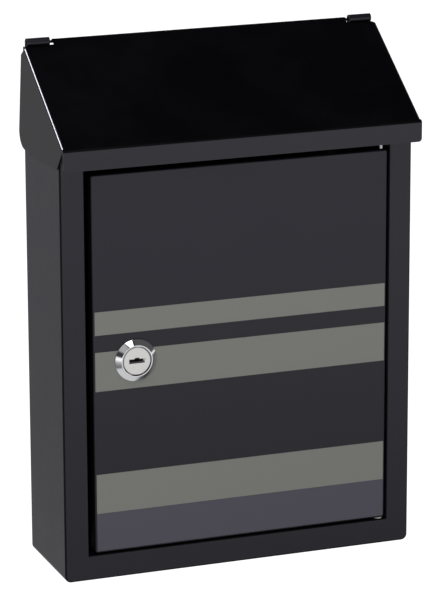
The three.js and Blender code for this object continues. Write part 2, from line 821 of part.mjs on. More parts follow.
function makeWafer(index) {
  const start = waferStart(index);
  const end = start + waferThickness;
  const disc = cylinderY(plugBodyRadius - waferGap, start, end);
  const blank = disc.intersect(box(-far, far, -far, far, -waferHeight / 2, waferHeight / 2));
  const window = box(
    -waferWindowWidth / 2,
    waferWindowWidth / 2,
    -far,
    far,
    -waferWindowHeight / 2,
    waferWindowHeight / 2,
  );
  return cut(blank, window);
}

function makeLockWasher() {
  const start = sheet + stackGap;
  const disc = cylinderY(barrelRadius + lockWasherRim, start, start + lockWasherHeight);
  return cut(disc, cylinderY(barrelRadius + barrelHoleGap, -far, far));
}

function makeLockNut() {
  const start = sheet + 2 * stackGap + lockWasherHeight;
  const flatRadius = barrelRadius + nutWall;
  const corner = flatRadius / Math.cos(Math.PI / 6);
  const end = start + nutHeight;
  const chamfer = corner - flatRadius;
  const hexagon = cylinderY(corner, start, end, 0, 0, 6);
  const rounded = turned([
    [0, start],
    [corner - chamfer, start],
    [corner, start + chamfer / 2],
    [corner, end - chamfer / 2],
    [corner - chamfer, end],
    [0, end],
  ]);
  return cut(hexagon.intersect(rounded), cylinderY(barrelRadius + barrelHoleGap, -far, far));
}

function squareHole() {
  const half = squareSize / 2 + squareGap;
  return box(-half, half, -far, far, -half, half);
}

// The stop washer turns with the plug. Its gap takes the lug and the quarter turn.
function makeStopWasher() {
  const gapStart = lugMiddle - stopLugAngle / 2 - stopSlack;
  const gapEnd = lugMiddle + stopLugAngle / 2 + stopTravel + stopSlack;
  const disc = cylinderY(stopRadius, stopStart, stopEnd);
  const inner = stopLugRadius - squareGap;
  const gap = sector(inner, stopRadius + over, gapStart, gapEnd, stopStart - over, stopEnd + over);
  return cut(disc, gap, squareHole());
}

// The cam hangs down when the door is free, and swings behind the left stile when it is locked.
function makeCam() {
  const hubY = (camStart + camEnd) / 2;
  const armY = (armStart + armEnd) / 2;
  const bentStrip = sheetOutline(
    [[hubY, camHubRadius], [hubY, -camCrankStart], [armY, -camCrankEnd], [armY, -camLength]],
    camThickness,
    camBend,
  );
  const strip = prismX(bentStrip, -camHubRadius, camHubRadius);
  const tipRadius = camTipWidth / 2;
  const plan = new THREE.Shape();
  plan.absarc(0, 0, camHubRadius, 0, Math.PI, false);
  plan.lineTo(-camHubRadius, -camCrankStart / 2);
  plan.lineTo(-tipRadius, -camCrankEnd);
  plan.absarc(0, -camLength + tipRadius, tipRadius, Math.PI, 2 * Math.PI, false);
  plan.lineTo(tipRadius, -camCrankEnd);
  plan.lineTo(camHubRadius, -camCrankStart / 2);
  return cut(strip.intersect(prismY(plan, -far, far)), squareHole());
}

function makeCamWasher() {
  const disc = cylinderY(camWasherRadius, camWasherStart, camWasherEnd, 0, 0, 32);
  return cut(disc, cylinderY(screwShankRadius + screwHoleGap, -far, far, 0, 0, 24));
}

function makeCamScrew() {
  const headEnd = screwHeadStart + screwHeadHeight;
  const tip = squareEnd - screwLength + 2 * over;
  const headEdge = screwHeadHeight / 3;
  const screw = turned([
    [0, tip],
    [screwShankRadius, tip],
    [screwShankRadius, screwHeadStart],
    [screwHeadRadius, screwHeadStart],
    [screwHeadRadius, headEnd - headEdge],
    [screwHeadRadius - headEdge / 2, headEnd - headEdge / 4],
    [screwHeadRadius - headEdge * 1.6, headEnd],
    [0, headEnd],
  ], 32);
  const slotDepth = screwHeadHeight / 2;
  const slotHalf = 0.4;
  const bladeHalf = 2.1;
  const depthStart = headEnd - slotDepth;
  return cut(
    screw,
    box(-bladeHalf, bladeHalf, depthStart, headEnd + over, -slotHalf, slotHalf),
    box(-slotHalf, slotHalf, depthStart, headEnd + over, -bladeHalf, bladeHalf),
  );
}

// ---------------------------------------------------------------- assembly

add(mailbox, 'casing', makeCasing(), blackPowderCoat);
add(mailbox, 'back_panel', makeBackPanel(), blackPowderCoat);
add(mailbox, 'front_rail', makeFrontRail(), blackPowderCoat);

const upperHeadStart = railBottom + sheet + stackGap;
const lowerHeadStart = sillHeight - sheet - stackGap;
const upperPin = makePin(upperHeadStart, upperHeadStart + pinHeadHeight, doorTop - sheet - pinEngagement);
const lowerPin = makePin(lowerHeadStart, lowerHeadStart - pinHeadHeight, doorBottom + sheet + pinEngagement);
add(mailbox, 'upper_door_pin', upperPin, zincPlate);
add(mailbox, 'lower_door_pin', lowerPin, zincPlate);
add(mailbox, 'door_washer', makeDoorWasher(), nylon);

add(lidGroup, 'lid', makeLid(), glossBlackCoat);

add(doorGroup, 'door', makeDoor(), blackPowderCoat);
add(doorGroup, 'base_band', makeFilm(doorBend, baseBandTop - filmEdgeGap), violetGreyFilm);
add(doorGroup, 'lower_stripe', makeFilm(baseBandTop, lowerStripeTop), greyGreenFilm);
add(doorGroup, 'middle_stripe', makeFilm(middleStripeBottom, middleStripeTop), greyGreenFilm);
add(doorGroup, 'upper_stripe', makeFilm(upperStripeBottom, upperStripeTop), greyGreenFilm);

add(lockGroup, 'lock_housing', makeLockHousing(), chrome);
add(lockGroup, 'lock_washer', makeLockWasher(), zincPlate);
add(lockGroup, 'lock_nut', makeLockNut(), zincPlate);
add(lockGroup, 'lock_plug', makeLockPlug(), satinNickel);
for (let i = 0; i < waferCount; i += 1) add(lockGroup, `wafer_${i + 1}`, makeWafer(i), brass);
add(lockGroup, 'stop_washer', makeStopWasher(), zincPlate);
add(lockGroup, 'lock_cam', makeCam(), zincPlate);
add(lockGroup, 'cam_washer', makeCamWasher(), zincPlate);
add(lockGroup, 'cam_screw', makeCamScrew(), zincPlate);

export default mailbox;
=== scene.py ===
# %% [markdown]
# # A wall mounted mailbox in folded sheet steel
# The real box is bent from 1 mm steel, spot-welded, and powder coated black. The CAD frame gives every piece
# its place, so this lesson only makes the surfaces: it loads the frame and then works through the folded
# sheets, the lock, the finishes, the light and the camera.
# Everything is in metres, +Z is up, the wall is the plane y = 0 and the front looks along -Y.

# %% Load the frame
import json
import math

import bmesh
import bpy
from mathutils import Matrix, Vector


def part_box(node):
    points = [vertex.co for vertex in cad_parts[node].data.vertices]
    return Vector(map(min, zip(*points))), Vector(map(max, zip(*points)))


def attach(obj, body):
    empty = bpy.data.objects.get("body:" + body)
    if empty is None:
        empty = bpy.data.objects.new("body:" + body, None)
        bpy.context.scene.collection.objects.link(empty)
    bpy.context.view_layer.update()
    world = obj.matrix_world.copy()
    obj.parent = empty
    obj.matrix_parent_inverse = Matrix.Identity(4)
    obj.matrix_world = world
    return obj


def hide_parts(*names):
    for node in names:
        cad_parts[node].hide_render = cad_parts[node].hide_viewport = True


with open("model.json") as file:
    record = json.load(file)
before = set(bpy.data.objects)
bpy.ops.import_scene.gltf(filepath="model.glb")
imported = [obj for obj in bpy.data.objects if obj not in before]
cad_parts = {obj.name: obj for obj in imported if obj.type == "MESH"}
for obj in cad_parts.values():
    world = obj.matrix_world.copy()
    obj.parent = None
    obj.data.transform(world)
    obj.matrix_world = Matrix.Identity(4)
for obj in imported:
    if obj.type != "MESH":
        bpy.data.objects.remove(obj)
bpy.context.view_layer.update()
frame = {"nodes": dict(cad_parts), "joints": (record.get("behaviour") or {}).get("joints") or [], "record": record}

nodes = frame["nodes"]

# %% [markdown]
# ## Measures that the pieces share
# A sheet-metal box is described by very few numbers: the sheet's thickness, the outside radius of a fold and
# the gaps between sheets. They are written once here, and every other place is read from the frame's boxes.

# %% Shared measures
MM = 0.001
SHEET = 1.0 * MM
FOLD = 1.5 * MM          # outside radius of a folded edge
FLOOR_CORNER = 4.5 * MM  # outside radius between floor and side
RETURN_DEPTH = 9.0 * MM  # folded edge behind a stile or the sill
RETURN_FOLD = 1.1 * MM   # outside radius of that edge's fold
LATCH_GAP = 4.8 * MM     # left of the door
HINGE_GAP = 1.0 * MM     # right of the door
SILL_GAP = 1.0 * MM      # under the door
ROOF_GAP = 0.6 * MM      # between the casing's sloping edge and the lid

casing_low, casing_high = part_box("casing")
door_low, door_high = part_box("door")
collar_low, collar_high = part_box("lock_housing")
lock_axis = (collar_low + collar_high) / 2
lid_joint = next(j for j in frame["joints"] if j["name"] == "lid_hinge")
lid_axis = Vector(lid_joint["pos_m"])
print("door in mm:", [round(c / MM, 1) for c in door_high - door_low])
print("lock axis in mm:", round(lock_axis.x / MM, 2), round(lock_axis.z / MM, 2))

# %% [markdown]
# ## Working by hand, in code
# Each new piece starts as a primitive and is shaped in edit mode. An operator acts on whatever is selected,
# so a few helpers start a piece with a clean selection and pick faces, edges or corners by where they lie.
# Others apply a modifier, cut one piece with another, shade a finished piece, and fit it to its body.

# %% Helpers for starting and selecting
def alone(piece):
    """Makes one object the only selected one, in object mode."""
    if bpy.context.object and bpy.context.object.mode != "OBJECT":
        bpy.ops.object.mode_set(mode="OBJECT")
    bpy.ops.object.select_all(action="DESELECT")
    bpy.context.view_layer.objects.active = piece
    piece.select_set(True)


def block(name, low, high):
    """A box between two corners, left in edit mode, its size already in its mesh."""
    alone(nodes["casing"])
    bpy.ops.object.select_all(action="DESELECT")
    low, high = Vector(low), Vector(high)
    bpy.ops.mesh.primitive_cube_add(size=1, location=(low + high) / 2, scale=high - low)
    piece = bpy.context.object
    piece.name = name
    bpy.ops.object.transform_apply(location=True, rotation=True, scale=True)
    bpy.ops.object.mode_set(mode="EDIT")
    return piece


def drum(name, middle, radius, length):
    """A cylinder about a line along Y, left in edit mode."""
    alone(nodes["casing"])
    bpy.ops.object.select_all(action="DESELECT")
    bpy.ops.mesh.primitive_cylinder_add(
        vertices=64, radius=radius, depth=length, location=middle, rotation=(math.pi / 2, 0, 0))
    piece = bpy.context.object
    piece.name = name
    bpy.ops.object.transform_apply(location=True, rotation=True, scale=True)
    bpy.ops.object.mode_set(mode="EDIT")
    return piece


def pick(piece, kind, wanted):
    """Selects the corners, edges or faces for which wanted(middle, its corners, element) is true."""
    bpy.ops.mesh.select_mode(type=kind)
    bpy.ops.mesh.select_all(action="DESELECT")
    shape = bmesh.from_edit_mesh(piece.data)
    elements = {"VERT": shape.verts, "EDGE": shape.edges, "FACE": shape.faces}[kind]
    count = 0
    for element in elements:
        corners = [element.co] if kind == "VERT" else [v.co for v in element.verts]
        middle = sum(corners, Vector()) / len(corners)
        if wanted(middle, corners, element):
            element.select_set(True)
            count += 1
    bmesh.update_edit_mesh(piece.data)
    return count


def near(a, b, tolerance=0.02 * MM):
    """True where two places are the same but for rounding."""
    return abs(a - b) < tolerance


def runs_along_y(m, c, e):
    """True for an edge that runs from front to back."""
    return near(abs((c[1] - c[0]).normalized().y), 1, 0.01)

# %% Helpers for cutting and finishing
def apply_modifier(piece, kind, **settings):
    """Adds a modifier with its settings and applies it."""
    alone(piece)
    modifier = piece.modifiers.new(kind.title(), kind)
    for name, value in settings.items():
        setattr(modifier, name, value)
    bpy.ops.object.modifier_apply(modifier=modifier.name)


def cut_away(piece, cutter):
    """Takes a cutter's shape out of a piece, and the cutter away."""
    alone(cutter)
    apply_modifier(piece, "BOOLEAN", operation="DIFFERENCE", object=cutter, solver="EXACT")
    bpy.data.objects.remove(cutter)


def finish_shading(piece, angle=35):
    """Smooth bends beside flat sheets: the big flat faces decide the normals at a bend's edge."""
    alone(piece)
    bpy.ops.object.shade_smooth_by_angle(angle=math.radians(angle))
    apply_modifier(piece, "WEIGHTED_NORMAL", mode="FACE_AREA", weight=80, keep_sharp=True)
    print(piece.name, len(piece.data.polygons), "faces")


def fit(piece, body, slot, *replaced):
    """Puts a finished piece on its body, in place of its CAD nodes."""
    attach(piece, body)
    if replaced:
        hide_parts(*replaced)
    return piece


print("helpers are ready for", len(nodes), "CAD nodes")

# %% [markdown]
# ## The casing
# One sheet is folded into the floor, the two sides, the stiles and the sill, and its edges round the door
# opening are folded back into the box. It could be lofted or made by a boolean, but folding is what the real
# press brake does, so the same order works here: a box is opened, its front is divided, the edges of the
# opening are extruded backwards, the folds are bevelled, and Solidify gives the sheet its thickness last.

# %% Casing: open box with a sloping top
opening_left = door_low.x - LATCH_GAP
opening_right = door_high.x + HINGE_GAP
sill_top = door_low.z - SILL_GAP
front_y = casing_low.y


def roof_direction():
    """Out of the roof, read from the CAD lid's largest sloping face."""
    faces = [p for p in nodes["lid"].data.polygons if p.normal.z > 0.5]
    return max(faces, key=lambda p: p.area).normal.copy()


out_of_roof = roof_direction()
roof_angle = math.atan2(-out_of_roof.y, out_of_roof.z)
under_lid = lid_axis - out_of_roof * (SHEET / 2 + ROOF_GAP)
print("roof falls", round(math.degrees(roof_angle), 1), "degrees to the front")

casing = block("folded_casing", casing_low, casing_high)
bpy.ops.mesh.select_all(action="SELECT")
bpy.ops.mesh.bisect(plane_co=under_lid, plane_no=out_of_roof, clear_outer=True)
pick(casing, "FACE", lambda m, c, f: near(m.y, casing_high.y) or near(m.z, casing_high.z))
bpy.ops.mesh.delete(type="FACE")
print("casing blank:", len(casing.data.polygons), "faces before the front is divided")

# %% [markdown]
# ### The door opening
# Three cuts across the front mark out the opening. Its face is deleted, and the three edges that are left
# round it are extruded backwards, just as the press brake turns them in.

# %% Casing: the door opening and its folded edges
def divide_front(co, no):
    pick(casing, "FACE", lambda m, c, f: near(m.y, front_y))
    bpy.ops.mesh.bisect(plane_co=co, plane_no=no)


divide_front((opening_left, 0, 0), (1, 0, 0))
divide_front((opening_right, 0, 0), (1, 0, 0))
divide_front((0, 0, sill_top), (0, 0, 1))


def in_opening(m):
    return near(m.y, front_y) and opening_left < m.x < opening_right and m.z > sill_top


pick(casing, "FACE", lambda m, c, f: in_opening(m))
bpy.ops.mesh.delete(type="FACE")


def on_opening_edge(m, c, e):
    at_front = all(near(p.y, front_y) for p in c)
    beside = all(near(p.x, opening_left) or near(p.x, opening_right) for p in c) and m.z > sill_top
    below = all(near(p.z, sill_top) for p in c) and opening_left < m.x < opening_right
    return at_front and (beside or below)


found = pick(casing, "EDGE", on_opening_edge)
bpy.ops.mesh.extrude_edges_move(TRANSFORM_OT_translate={"value": (0, RETURN_DEPTH, 0)})
print("opening edges folded back:", found)

# %% [markdown]
# ### Folds and thickness
# Bevels round the sharp edges of the surface. They come before Solidify, so that the sheet's inside gets its
# own, smaller radius, as in real bending. Even offset keeps the sheet equally thick round every bend.

# %% Casing: loose top edge, folds and thickness
SHARP_ENOUGH = 0.2       # radians; a flatter edge is no fold

pick(casing, "EDGE", lambda m, c, e: e.is_boundary and len(e.link_faces) == 0)
bpy.ops.mesh.delete(type="EDGE")
pick(casing, "EDGE", lambda m, c, e: near(m.z, casing_low.z) and near(abs(m.x), casing_high.x))
bpy.ops.mesh.bevel(offset=FLOOR_CORNER, segments=8, affect="EDGES")


def on_outer_fold(m, c, e):
    at_front = all(near(p.y, front_y) for p in c)
    inside = opening_left - MM < m.x < opening_right + MM and m.z > casing_low.z + MM
    return at_front and len(e.link_faces) == 2 and not inside and abs(e.calc_face_angle(0)) > SHARP_ENOUGH


pick(casing, "EDGE", on_outer_fold)
bpy.ops.mesh.bevel(offset=FOLD, segments=6, affect="EDGES")
pick(casing, "EDGE", lambda m, c, e: on_opening_edge(m, c, e) and len(e.link_faces) == 2)
bpy.ops.mesh.bevel(offset=RETURN_FOLD, segments=5, affect="EDGES")
apply_modifier(casing, "SOLIDIFY", thickness=SHEET, offset=-1, use_even_offset=True)
finish_shading(casing)

# %% [markdown]
# ## The door
# The door is a shallow tray: a flat face with its four edges folded back. The corners are rounded as seen
# from the front, and the folds run round them. A box without its rear face, with its corner edges and then
# its front edge bevelled, is that tray. The lock's hole has two flats, which keep the barrel from turning.

# %% Door tray
DOOR_CORNER = 2.1 * MM

door = block("door_tray", door_low, door_high)
pick(door, "FACE", lambda m, c, f: near(m.y, door_high.y))
bpy.ops.mesh.delete(type="FACE")
corners = pick(door, "EDGE", runs_along_y)
bpy.ops.mesh.bevel(offset=DOOR_CORNER, segments=6, affect="EDGES")
pick(door, "EDGE", lambda m, c, e: all(near(p.y, door_low.y) for p in c))
bpy.ops.mesh.bevel(offset=FOLD, segments=6, affect="EDGES")
apply_modifier(door, "SOLIDIFY", thickness=SHEET, offset=-1, use_even_offset=True)
print("door corners rounded:", corners)

# %% Door: the lock's hole
BARREL_RADIUS = 9.7 * MM
BARREL_FLAT = 8.2 * MM   # from the lock's axis to a flat of its hole
CUTTER_LENGTH = 8 * MM   # long enough to pass through the sheet

hole_cutter = drum("hole_cutter", (lock_axis.x, door_low.y, lock_axis.z), BARREL_RADIUS, CUTTER_LENGTH)
for side in (-1, 1):
    bpy.ops.mesh.select_all(action="SELECT")
    flat = (0, 0, lock_axis.z + side * BARREL_FLAT)
    bpy.ops.mesh.bisect(plane_co=flat, plane_no=(0, 0, side), clear_outer=True, use_fill=True)
cut_away(door, hole_cutter)
finish_shading(door)

# %% [markdown]
# ## Sheets that are copied from the frame
# The lid with its hinge tongues, the back panel with its curled ears and the front rail already have their
# true shape in the frame, notches and all. Only their shading is faceted there. A copy has its loose
# triangles merged and its flat triangles dissolved into whole faces, and then shades smoothly at its bends.

# %% Lid, back panel and front rail
WELD = 0.002 * MM        # corners closer than this are one corner
FLAT = math.radians(0.5)


def welded_copy(node, name):
    """A copy of a CAD node with its corners merged and its flat faces whole."""
    piece = nodes[node].copy()
    piece.data = nodes[node].data.copy()
    piece.name = name
    piece.parent = None
    for key in list(piece.keys()):
        del piece[key]
    bpy.context.scene.collection.objects.link(piece)
    alone(piece)
    bpy.ops.object.mode_set(mode="EDIT")
    bpy.ops.mesh.select_all(action="SELECT")
    bpy.ops.mesh.remove_doubles(threshold=WELD)
    bpy.ops.mesh.dissolve_limited(angle_limit=FLAT)
    bpy.ops.object.mode_set(mode="OBJECT")
    piece.data.materials.clear()
    return piece


lid = welded_copy("lid", "sloping_lid")
back_panel = welded_copy("back_panel", "eared_back_panel")
front_rail = welded_copy("front_rail", "channel_rail")
for sheet_piece in (lid, back_panel, front_rail):
    finish_shading(sheet_piece)

fit(casing, "box", "black_powder_coat", "casing")
fit(back_panel, "box", "black_powder_coat", "back_panel")
fit(front_rail, "box", "black_powder_coat", "front_rail")
fit(door, "door", "black_powder_coat", "door")
fit(lid, "lid", "gloss_black_coat", "lid")

# %% [markdown]
# ## The lock
# The collar is a die-cast ring under chrome, and the plug turns inside it. Its face shows a dark ring where
# the plug's edge is rounded, and a keyway wider than the key's blade, with a half-round groove above it for
# the key's rib. A near-black shutter closes the keyway behind the face, and its dark colour also paints the
# shade of a deep keyway. The plug is a copy of the turned CAD plug: its front edge is drawn in, and the keyway
# and its groove are cut with two hand-made cutters.

# %% Lock: the plug's rounded edge
EDGE_SHRINK = 0.945      # front edge of the plug's face, for the dark ring
EDGE_WIDTH = 0.6 * MM    # corners this close to the rim
EDGE_DEPTH = 0.5 * MM    # and this close to the face are drawn in

plug = welded_copy("lock_plug", "keyed_plug")
plug_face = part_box("lock_plug")[0].y
face_radius = max(v.co.x for v in plug.data.vertices) - lock_axis.x
alone(plug)
bpy.ops.object.mode_set(mode="EDIT")


def on_face_edge(m, c, v):
    radius = math.hypot(m.x - lock_axis.x, m.z - lock_axis.z)
    return radius > face_radius - EDGE_WIDTH and m.y < plug_face + EDGE_DEPTH


moved = pick(plug, "VERT", on_face_edge)
bpy.ops.transform.resize(
    value=(EDGE_SHRINK, 1, EDGE_SHRINK), center_override=(lock_axis.x, plug_face, lock_axis.z))
print("face radius in mm:", round(face_radius / MM, 2), "corners drawn in:", moved)

# %% Lock: the keyway and its groove
KEYWAY = (11.4 * MM, 3.1 * MM)
KEYWAY_CORNER = 0.4 * MM
KEYWAY_DEPTH = 3.3 * MM  # up to the shutter, in front of the first wafer
RIB_RADIUS = 2.0 * MM
RIB_RISE = 0.9 * MM      # from the keyway's middle to the groove's

half = Vector((KEYWAY[0] / 2, 0, KEYWAY[1] / 2))
centre = Vector((lock_axis.x, plug_face, lock_axis.z))
slot_front, slot_rear = Vector((0, -MM, 0)), Vector((0, KEYWAY_DEPTH, 0))
keyway_cutter = block("keyway_cutter", centre - half + slot_front, centre + half + slot_rear)
pick(keyway_cutter, "EDGE", runs_along_y)
bpy.ops.mesh.bevel(offset=KEYWAY_CORNER, segments=3, affect="EDGES")
rib_middle = centre + Vector((0, KEYWAY_DEPTH / 2 - MM, RIB_RISE))
rib_cutter = drum("rib_cutter", rib_middle, RIB_RADIUS, KEYWAY_DEPTH)
cut_away(plug, keyway_cutter)
cut_away(plug, rib_cutter)
finish_shading(plug)

# %% Lock: the shutter
SHUTTER = 0.2 * MM       # its thickness
SHUTTER_INSET = 0.3 * MM  # from the keyway's outline to the shutter's
SHUTTER_RIM = 0.25 * MM
SHUTTER_DISH = 0.08 * MM

inset = Vector((SHUTTER_INSET, 0, SHUTTER_INSET))
shutter_front = centre - half + inset + Vector((0, KEYWAY_DEPTH - 2 * SHUTTER, 0))
shutter_rear = centre + half - inset + Vector((0, KEYWAY_DEPTH - SHUTTER, 0))
# The shutter's near-black finish paints the shade that fills a deep keyway.
shutter = block("keyway_shutter", shutter_front, shutter_rear)
pick(shutter, "FACE", lambda m, c, f: near(m.y, shutter_front.y))
bpy.ops.mesh.inset(thickness=SHUTTER_RIM)
bpy.ops.transform.translate(value=(0, SHUTTER_DISH, 0))
finish_shading(shutter)

# %% Lock: the collar
COLLAR_BEND = 50         # degrees; the cast collar's edges are softer than a sheet's

collar = welded_copy("lock_housing", "chrome_collar")
finish_shading(collar, COLLAR_BEND)
fit(plug, "lock_core", "satin_nickel", "lock_plug")
fit(shutter, "lock_core", "zinc_plate")
fit(collar, "door", "chrome_plate", "lock_housing")

# %% [markdown]
# ## Finishes
# Colours are written as sRGB hex, as a paint card gives them, and one function turns them to linear. One
# small function adds a node with its settings and its links. What is the same all over a piece goes straight
# on the shader. Only what varies over the surface gets a pattern, and its size comes from a real measure.

# %% Colour and node helpers
def linear(hex_colour):
    """An sRGB hex colour as linear RGBA."""
    parts = [int(hex_colour[i:i + 2], 16) / 255 for i in (1, 3, 5)]
    return tuple(p / 12.92 if p <= 0.04045 else ((p + 0.055) / 1.055) ** 2.4 for p in parts) + (1.0,)


def add(tree, kind, values=None, **settings):
    """A node with its settings, its input values and its links."""
    made = tree.nodes.new(kind)
    for name, value in settings.items():
        setattr(made, name, value)
    for socket, value in (values or {}).items():
        if isinstance(value, bpy.types.NodeSocket):
            tree.links.new(value, made.inputs[socket])
        else:
            made.inputs[socket].default_value = value
    return made


def new_material(name, **values):
    """A material whose Principled shader has these constant values. Returns it with its tree and shader."""
    material = bpy.data.materials.new(name)
    material.use_nodes = True
    tree = material.node_tree
    shader = tree.nodes["Principled BSDF"]
    for socket, value in values.items():
        shader.inputs[socket.replace("_", " ")].default_value = value
    print("finish:", name)
    return material, tree, shader


def feed(tree, shader, patterns):
    """Links each pattern to the shader's socket of that name."""
    for socket, pattern in patterns.items():
        tree.links.new(pattern, shader.inputs[socket])


def per_mm(size):
    """A noise scale whose grains are about this many millimetres across."""
    return 1 / (size * MM)


print("middle grey #808080 in linear light:", round(linear("#808080")[0], 3))

# %% [markdown]
# ### Satin black powder coat
# Polyester powder is sprayed on and baked, and it flows out into a faint orange peel about 2 mm from crest
# to crest. The eye sees a deep, slightly violet black whose brightness is almost all reflection, with
# patches a little smoother than others. So the colour stays dark, and roughness and bump carry the finish.
# The lid's coat is glossier. The casing's outer bends beside the front get a darker, duller copy of the coat
# with a weak reflection: painted shade, which draws a dark line along these bends.

# %% Powder coat
COAT_GLINT = "#F2EFFF"    # the coat's reflection is faintly violet
PATCH_MM = 60             # patches where the coat is a little smoother
PEEL_MM = 2.2             # orange peel, from crest to crest
SPECK_MM = 0.9            # grains of powder, drawn much coarser than real ones so that they show
PEEL_HEIGHT = 0.12 * MM
SPECK_HEIGHT = 0.02 * MM


def powder_coat(name, colour, dusty, roughness, spread, peel, ior=1.5, gloss=0.5):
    """A coat from colour to dusty in patches, its roughness varied by spread, under an orange peel."""
    material, tree, shader = new_material(name, IOR=ior, Metallic=0.0, Specular_IOR_Level=gloss)
    shader.inputs["Specular Tint"].default_value = linear(COAT_GLINT)
    place = add(tree, "ShaderNodeTexCoord").outputs["Object"]
    patches = add(tree, "ShaderNodeTexNoise", {
        "Vector": place, "Scale": per_mm(PATCH_MM), "Detail": 5.0, "Roughness": 0.6})
    specks = add(tree, "ShaderNodeTexNoise", {"Vector": place, "Scale": per_mm(SPECK_MM), "Detail": 2.0})
    waves = add(tree, "ShaderNodeTexNoise", {"Vector": place, "Scale": per_mm(PEEL_MM), "Detail": 2.0})
    tint = add(tree, "ShaderNodeMapRange", {
        "Value": patches.outputs["Fac"], "From Min": 0.42, "From Max": 0.68, "To Min": 0.0, "To Max": 1.0})
    colours = add(tree, "ShaderNodeMix", {"Factor": tint.outputs["Result"]}, data_type="RGBA")
    colours.inputs["A"].default_value = linear(colour)
    colours.inputs["B"].default_value = linear(dusty)
    mixed = add(tree, "ShaderNodeMath", {
        0: patches.outputs["Fac"], 1: specks.outputs["Fac"]}, operation="ADD")
    rough = add(tree, "ShaderNodeMapRange", {
        "Value": mixed.outputs["Value"], "From Min": 0.7, "From Max": 1.3,
        "To Min": roughness - spread, "To Max": roughness + spread})
    grain = add(tree, "ShaderNodeBump", {
        "Height": specks.outputs["Fac"], "Strength": peel, "Distance": SPECK_HEIGHT})
    bump = add(tree, "ShaderNodeBump", {
        "Height": waves.outputs["Fac"], "Normal": grain.outputs["Normal"],
        "Strength": peel, "Distance": PEEL_HEIGHT})
    feed(tree, shader, {
        "Base Color": colours.outputs["Result"], "Roughness": rough.outputs["Result"],
        "Normal": bump.outputs["Normal"]})
    return material


satin_black = powder_coat("satin black powder coat", "#131118", "#17161D", 0.37, 0.05, 0.25)
lid_black = powder_coat("semi-gloss black powder coat", "#060608", "#0A090D", 0.2, 0.04, 0.12, ior=1.46)
# Painted shade: a darker, duller copy of the satin coat, for a dark line along the casing's outer bends.
bend_painted_shade_coat = powder_coat("darker coat painting shade on the bends", "#0A090C", "#100F13", 0.5, 0.05, 0.25, gloss=0.12)

# %% [markdown]
# ### Printed vinyl film
# The stripes are calendered vinyl, laid on the coated door. Vinyl is smoother than the coat, takes its peel
# from below only faintly, and has an even colour with a very fine grain from the print.

# %% Vinyl film
PRINT_MM = 0.8            # the print's grain, drawn coarser than it is so that it shows
FILM_HEIGHT = 0.08 * MM   # what is left of the coat's peel


def vinyl_film(name, colour, lighter):
    """An even film from colour to lighter in fine grains, over the coat's peel."""
    material, tree, shader = new_material(name, IOR=1.5, Metallic=0.0)
    place = add(tree, "ShaderNodeTexCoord").outputs["Object"]
    grain = add(tree, "ShaderNodeTexNoise", {"Vector": place, "Scale": per_mm(PRINT_MM), "Detail": 3.0})
    colours = add(tree, "ShaderNodeMix", {"Factor": grain.outputs["Fac"]}, data_type="RGBA")
    colours.inputs["A"].default_value = linear(colour)
    colours.inputs["B"].default_value = linear(lighter)
    waves = add(tree, "ShaderNodeTexNoise", {"Vector": place, "Scale": per_mm(PEEL_MM), "Detail": 2.0})
    rough = add(tree, "ShaderNodeMapRange", {
        "Value": waves.outputs["Fac"], "To Min": 0.36, "To Max": 0.48})
    bump = add(tree, "ShaderNodeBump", {
        "Height": waves.outputs["Fac"], "Strength": 0.15, "Distance": FILM_HEIGHT})
    feed(tree, shader, {
        "Base Color": colours.outputs["Result"], "Roughness": rough.outputs["Result"],
        "Normal": bump.outputs["Normal"]})
    return material


grey_green_vinyl = vinyl_film("grey-green calendered vinyl", "#8E8F88", "#92938C")
violet_vinyl = vinyl_film("violet-grey calendered vinyl", "#545260", "#585664")

# %% [markdown]
# ### Metals of the lock
# Polished chrome is almost a mirror with hair-fine scuffs. The plug's face is satin nickel, with a fine even
# grain. Nut, washers, cam and pins are zinc plated: dull, with a soft mottle. The wafers are stamped brass,
# and the shutter behind the keyway is near-black blued steel, whose darkness also paints the keyway's shade.
# Their grains are finer than this on real parts, and are drawn coarse enough to show.

# %% Metals
GRAIN_SHADE = 0.86        # the darker grains' share of a metal's brightness


def plated(name, colour, roughness, spread, grain_mm, grain_height_mm):
    """A metal whose grains vary a little in brightness, roughness and height."""
    material, tree, shader = new_material(name, Metallic=1.0)
    place = add(tree, "ShaderNodeTexCoord").outputs["Object"]
    grain = add(tree, "ShaderNodeTexNoise", {"Vector": place, "Scale": per_mm(grain_mm), "Detail": 4.0})
    rough = add(tree, "ShaderNodeMapRange", {
        "Value": grain.outputs["Fac"], "From Min": 0.3, "From Max": 0.7,
        "To Min": roughness - spread, "To Max": roughness + spread})
    colours = add(tree, "ShaderNodeMix", {"Factor": grain.outputs["Fac"]}, data_type="RGBA")
    colours.inputs["A"].default_value = tuple(c * GRAIN_SHADE for c in linear(colour)[:3]) + (1.0,)
    colours.inputs["B"].default_value = linear(colour)
    bump = add(tree, "ShaderNodeBump", {
        "Height": grain.outputs["Fac"], "Strength": 0.2, "Distance": grain_height_mm * MM})
    feed(tree, shader, {
        "Base Color": colours.outputs["Result"], "Roughness": rough.outputs["Result"],
        "Normal": bump.outputs["Normal"]})
    return material


chrome = plated("polished chrome plate", "#E4E5E8", 0.09, 0.04, 1.5, 0.01)
satin_nickel = plated("satin nickel plate", "#EBEAE8", 0.36, 0.07, 0.5, 0.03)
zinc = plated("bright zinc plate", "#C3C6CA", 0.38, 0.1, 1.8, 0.02)
brass = plated("stamped brass", "#C9A35A", 0.32, 0.08, 0.9, 0.02)
# Near black: on the shutter it also paints the keyway's shade.
blued_steel_keyway_shade = plated("blued steel painting keyway shade", "#17171B", 0.45, 0.08, 0.6, 0.01)

# %% [markdown]
# ### Natural nylon
# The washer under the door is turned from undyed nylon: milky, a little waxy, with faint turning marks.

# %% Nylon
TURNING_MM = 1.2          # from mark to mark
TURNING_HEIGHT = 0.02 * MM
WAX_DEPTH = (2.0 * MM, 1.8 * MM, 1.4 * MM)   # how far red, green and blue light goes in

